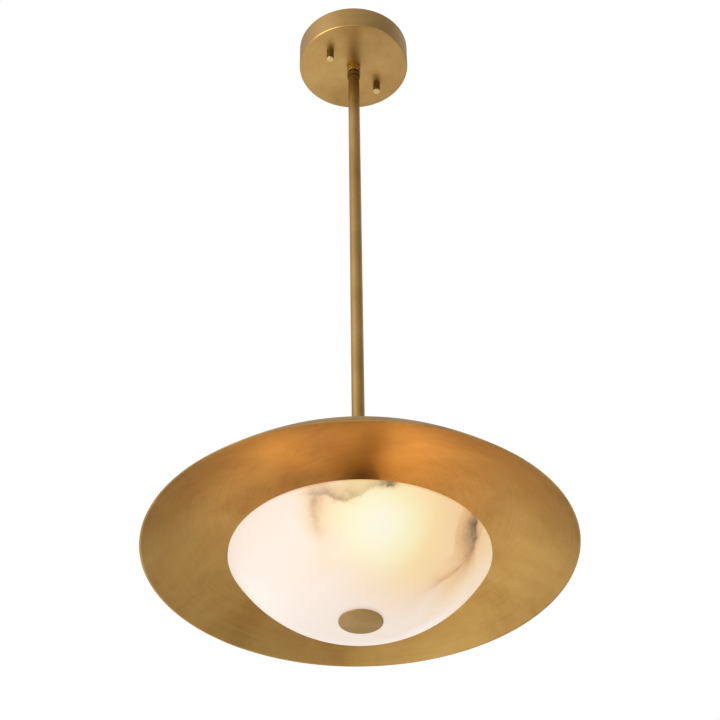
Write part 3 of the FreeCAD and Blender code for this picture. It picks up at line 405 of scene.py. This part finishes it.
def bowlOutline(shape):
    widestZ = shape["topZ"] - shape["edge"]
    flankZ = widestZ + math.sqrt(shape["flank"] ** 2 - shape["radius"] ** 2)
    slope = math.radians(shape["baseSlope"])
    base = shape["flank"] - shape["seat"] / math.sin(slope)
    baseZ = flankZ - shape["seat"] / math.tan(slope)
    seatZ = baseZ - base
    join = math.pi - slope
    widest = math.pi - math.asin(shape["radius"] / shape["flank"])
    thin = shape["flank"] - shape["wall"]
    innerTop = math.pi - math.acos((flankZ - shape["topZ"]) / thin)
    outer = arcPoints((0, flankZ), shape["flank"], widest, join, shape["outerPoints"][0])
    outer += arcPoints((shape["seat"], baseZ), base, join, math.pi, shape["outerPoints"][1])
    inner = arcPoints((shape["seat"], baseZ), base - shape["wall"], math.pi, join, shape["innerPoints"][0])
    inner += arcPoints((0, flankZ), thin, join, innerTop, shape["innerPoints"][1])
    lip = inner[-1]
    inner = [point for point in inner if point[1] < shape["topZ"] - shape["round"] * shape["lipClear"]]
    lipRound = roundedCorner(inner[-1], lip, (shape["radius"], shape["topZ"]), shape["round"])
    edgeRound = roundedCorner(lip, (shape["radius"], shape["topZ"]), (shape["radius"], widestZ), shape["round"])
    bore = [(shape["hole"], seatZ), (shape["hole"], seatZ + shape["wall"])]
    return outer + bore + inner + lipRound + edgeRound


# Veins in plan, seen from above, in mm from the axis. Each has its points, how dark it is at each
# point, and how far it fades on its sharp side, which is on the left along its points, and on its soft
# side. The wander bends them as real veins bend, and its seed keeps it the same in each run.
veinWander = {"seed": 1, "wideMm": 9.0, "wideSwingMm": 1.6, "fineMm": 2.6, "fineSwingMm": 0.7, "fade": 1.3,
              "reachMm": 20}
veins = {
    "rim line": {"points": [(-46, -109), (-41, -109), (-29, -112), (-15, -110), (-6, -113), (3, -115),
                            (14, -118), (21, -118), (27, -116), (36, -115)],
                 "dark": [0.1, 0.48, 0.58, 0.58, 0.5, 0.38, 0.38, 0.72, 1.05, 0.25], "sharp": 1.0, "soft": 5.5},
    "left smear": {"points": [(-36, -112), (-40, -106), (-40, -100), (-38, -92), (-37, -84)],
                   "dark": [0.4, 0.48, 0.42, 0.3, 0.08], "sharp": 4.5, "soft": 8.0},
    "right patch": {"points": [(97, -34), (100, -38), (102, -46), (102, -53), (102.5, -59), (103, -62)],
                    "dark": [0.45, 0.62, 0.8, 0.76, 0.98, 0.6], "sharp": 3.2, "soft": 13.0},
    "right tail": {"points": [(59, -28), (70, -31), (80, -31), (90, -33), (98, -35)],
                   "dark": [0.08, 0.34, 0.4, 0.44, 0.4], "sharp": 2.6, "soft": 7.0},
}


def veinAt(x, y, z):
    for vein in veins.values():
        if min((x - p[0]) ** 2 + (y - p[1]) ** 2 for p in vein["points"]) < veinWander["reachMm"] ** 2:
            break
    else:
        return 0.0
    place = Vector((x, y, z))
    wander = (noise.noise_vector(place / veinWander["wideMm"]) * veinWander["wideSwingMm"]
              + noise.noise_vector(place / veinWander["fineMm"]) * veinWander["fineSwingMm"])
    spot = Vector((x + wander.x, y + wander.y))
    darkest = 0.0
    for vein in veins.values():
        points = vein["points"]
        for index in range(len(points) - 1):
            a, b = Vector(points[index]), Vector(points[index + 1])
            along = max(0.0, min(1.0, (spot - a).dot(b - a) / (b - a).length_squared))
            gap = spot - a.lerp(b, along)
            side = (b - a).x * gap.y - (b - a).y * gap.x
            fade = vein["sharp"] if side > 0 else vein["soft"]
            dark = vein["dark"][index] * (1 - along) + vein["dark"][index + 1] * along
            darkest = max(darkest, dark * math.exp(-(gap.length / fade) ** veinWander["fade"]))
    return darkest


litAlabaster = glowingAlabaster(alabasterLook, bowlShape["lampAzimuths"], dishShape["rimZ"] * mm)
bowl = turnedPiece("alabasterBowl", bowlOutline(bowlShape), bowlShape["steps"], litAlabaster, "bowl",
                   "alabaster_bowl")
noise.seed_set(veinWander["seed"])
stain = bowl.data.attributes.new("vein", "FLOAT", "POINT")
for point in bowl.data.vertices:
    stain.data[point.index].value = veinAt(*(point.co / mm))
print("bowl made")


# Finishes of the CAD nodes that stay.
nodeFinish = {}
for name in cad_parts:
    if name.startswith("bulb"):
        nodeFinish[name] = bulbGlass
    elif name.startswith("lamp_holder"):
        nodeFinish[name] = plain["ceramic"]
    elif name in ("terminal_block", "cord_grip", "ball_seat"):
        nodeFinish[name] = plain["plastic"]
    elif name.endswith("felt"):
        nodeFinish[name] = plain["felt"]
    elif name.endswith(("lead", "cores")):
        nodeFinish[name] = plain["sheath"]
    elif name == "rod":
        nodeFinish[name] = rodBrass
    elif name == "finial":
        nodeFinish[name] = finialBrass
    elif name.startswith("cap_nut"):
        nodeFinish[name] = nutBrass
    elif name in ("swivel_body", "swivel_cup", "swivel_ball", "rod_ferrule"):
        nodeFinish[name] = swivelBrass
    elif name in ("rod_plug", "rod_coupler", "dish_washer", "lamp_hub", "hub_lid", "tie_rod_reducer",
                  "lamp_arms", "earth_screw"):
        nodeFinish[name] = brass
    else:
        nodeFinish[name] = plain["steel"]
for name, material in nodeFinish.items():
    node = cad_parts[name]
    for slot in node.material_slots:
        slot.material = material
print("CAD nodes finished")


cameraShape = {
    "framePixels": 720, "focalPixels": 1766.6, "sensorMm": 36.0,
    "place": (0.0, -1.3473, -1.5932), "pitch": 39.843, "yaw": -0.108, "roll": -0.833,
}


def makeCamera(shape):
    data = bpy.data.cameras.new("photoCamera")
    data.sensor_width = shape["sensorMm"]
    data.lens = shape["focalPixels"] * data.sensor_width / shape["framePixels"]
    camera = bpy.data.objects.new("photoCamera", data)
    bpy.context.scene.collection.objects.link(camera)
    turn = (Matrix.Rotation(math.radians(shape["yaw"]), 4, "Z")
            @ Matrix.Rotation(math.radians(90 + shape["pitch"]), 4, "X")
            @ Matrix.Rotation(math.radians(shape["roll"]), 4, "Z"))
    camera.matrix_world = Matrix.Translation(shape["place"]) @ turn
    bpy.context.scene.camera = camera


# The floor is a plain pale diffuse one, clear from below. In reflections it shows the pale studio, brighter
# on the left, with a dimmer patch on the right.
floorShape = {
    "z": -2.3, "size": 9.0, "colour": "#E4E2DE", "paler": 0.42, "leftGloss": 1.02, "rightGloss": 0.68, "reach": 1.0,
    "dimPlace": (0.9, -0.2, 0.0), "dim": 0.58, "dimReach": (0.2, 1.6), "rough": 0.8,
}


def makeFloor(shape):
    bpy.ops.object.select_all(action="DESELECT")
    bpy.ops.mesh.primitive_plane_add(size=shape["size"], location=(0, 0, shape["z"]))
    floor = bpy.context.object
    floor.name = "studioFloor"
    material, tree = newMaterial("pale studio floor")
    material.cycles.emission_sampling = "NONE"
    place = addNode(tree, "ShaderNodeTexCoord").outputs["Object"]
    x = addNode(tree, "ShaderNodeSeparateXYZ", Vector=place).outputs["X"]
    side = addNode(tree, "ShaderNodeMapRange", softStep, i0=x, i1=-shape["reach"], i2=shape["reach"],
                   i3=shape["leftGloss"], i4=shape["rightGloss"])
    away = addNode(tree, "ShaderNodeVectorMath", apart, i0=place, i1=shape["dimPlace"]).outputs["Value"]
    dim = addNode(tree, "ShaderNodeMapRange", softStep, i0=away, i1=shape["dimReach"][0],
                  i2=shape["dimReach"][1], i3=shape["dim"], i4=1.0)
    gloss = addNode(tree, "ShaderNodeMath", times, i0=side, i1=dim)
    rays = addNode(tree, "ShaderNodeLightPath")
    paler = addNode(tree, "ShaderNodeMath", times, i0=rays.outputs["Is Camera Ray"], i1=shape["paler"])
    matt = addNode(tree, "ShaderNodeBsdfPrincipled", i0=linear(shape["colour"]), Roughness=shape["rough"],
                   **{"Emission Color": (1, 1, 1, 1), "Emission Strength": paler})
    studio = addNode(tree, "ShaderNodeEmission", Color=(1, 1, 1, 1), Strength=gloss)
    upper = addNode(tree, "ShaderNodeMixShader", i0=rays.outputs["Is Glossy Ray"], i1=matt, i2=studio)
    under = addNode(tree, "ShaderNodeNewGeometry").outputs["Backfacing"]
    shader = addNode(tree, "ShaderNodeMixShader", i0=under, i1=upper, i2=addNode(tree, "ShaderNodeBsdfTransparent"))
    addNode(tree, "ShaderNodeOutputMaterial", Surface=shader)
    floor.data.materials.append(material)


lamps = {
    "leftFront": {"place": (-1.9, -1.7, -0.5), "aim": (0, 0, -0.5), "size": 2.0, "power": 42.0,
                  "colour": "#FFFFFF"},
    "rightFront": {"place": (2.0, -1.6, -1.2), "aim": (0, 0, -0.5), "size": 1.0, "power": 8.0,
                   "colour": "#FFF6EA"},
}


def makeLamp(name, shape):
    data = bpy.data.lights.new(name, "AREA")
    data.size = shape["size"]
    data.energy = shape["power"]
    data.color = linear(shape["colour"])[:3]
    lamp = bpy.data.objects.new(name, data)
    bpy.context.scene.collection.objects.link(lamp)
    lamp.location = shape["place"]
    lamp.rotation_euler = (Vector(shape["aim"]) - Vector(shape["place"])).to_track_quat("-Z", "Y").to_euler()


worldLook = {"ambient": 0.55, "frontGloss": (0.98, 0.2), "backGloss": (0.54, 0.56), "turnAt": (-0.4, 0.6)}


def makeWorld(look):  # white to the eye, softer for what lights the object, brighter on the left in reflections
    world = bpy.data.worlds.new("paleStudio")
    bpy.context.scene.world = world
    world.use_nodes = True
    tree = world.node_tree
    tree.nodes.clear()
    rays = addNode(tree, "ShaderNodeLightPath")
    away = addNode(tree, "ShaderNodeTexCoord").outputs["Generated"]
    x, y, z = addNode(tree, "ShaderNodeSeparateXYZ", Vector=away).outputs
    front, back = [addNode(tree, "ShaderNodeMapRange", i0=x, i1=-1.0, i2=1.0, i3=left, i4=right)
                   for left, right in (look["frontGloss"], look["backGloss"])]
    behind = addNode(tree, "ShaderNodeMapRange", softStep, i0=y, i1=look["turnAt"][0], i2=look["turnAt"][1])
    gloss = addNode(tree, "ShaderNodeMix", i0=behind, i2=front, i3=back)
    level = addNode(tree, "ShaderNodeMix", i0=rays.outputs["Is Glossy Ray"], i2=look["ambient"], i3=gloss)
    seen = addNode(tree, "ShaderNodeMix", i0=rays.outputs["Is Camera Ray"], i2=level, i3=1.0)
    shown = addNode(tree, "ShaderNodeBackground", Color=(1, 1, 1, 1), Strength=seen)
    addNode(tree, "ShaderNodeOutputWorld", Surface=shown)


makeCamera(cameraShape)
makeFloor(floorShape)
for lampName, lampShape in lamps.items():
    makeLamp(lampName, lampShape)
makeWorld(worldLook)
bpy.context.scene.view_settings.view_transform = "Standard"
print("camera, floor and light ready")
